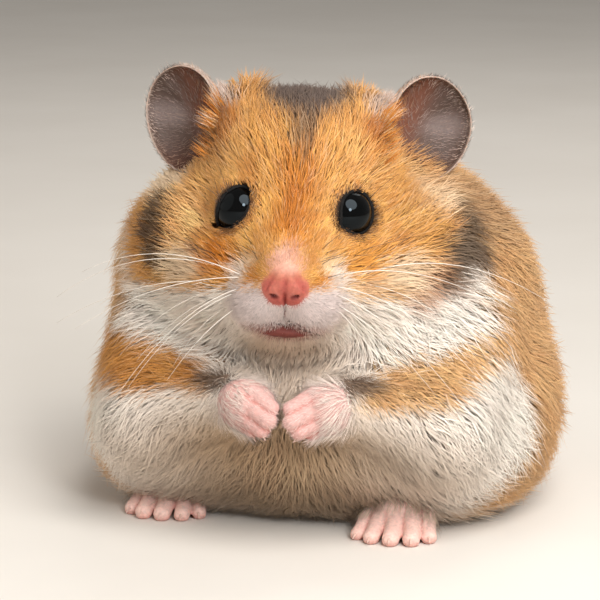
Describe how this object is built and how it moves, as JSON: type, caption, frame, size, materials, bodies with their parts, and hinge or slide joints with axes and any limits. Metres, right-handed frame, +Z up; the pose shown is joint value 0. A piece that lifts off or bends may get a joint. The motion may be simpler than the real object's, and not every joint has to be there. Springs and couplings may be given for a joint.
{
  "type": "syrian hamster",
  "caption": "Life-size Syrian hamster sitting up on its haunches, its hands held together under its chin, with a golden, white and grey coat.",
  "frame": {"origin": "on the floor, under the middle of the animal's bounding box", "axes": "+Z up, -Y the way the body faces, +X the animal's left"},
  "size_m": [0.0806, 0.089, 0.0722],
  "materials": {
    "golden_fur": "soft dense fur",
    "white_fur": "soft dense fur",
    "ear_skin": "thin skin with fine down",
    "pink_skin": "soft bare skin with fine pale hairs",
    "nose_skin": "moist bare skin",
    "eye": "wet black gloss",
    "claw": "pale translucent horn"
  },
  "bodies": {
    "root": {"head": "golden_fur", "nose": "nose_skin", "eye_left": "eye", "eye_right": "eye", "ear_left": "ear_skin", "ear_right": "ear_skin", "trunk": "golden_fur", "tail": "pink_skin", "arm_left": "white_fur", "arm_right": "white_fur", "hand_left": "pink_skin", "hand_right": "pink_skin", "haunch_left": "white_fur", "haunch_right": "white_fur", "foot_left": "pink_skin", "foot_right": "pink_skin"}
  },
  "joints": []
}
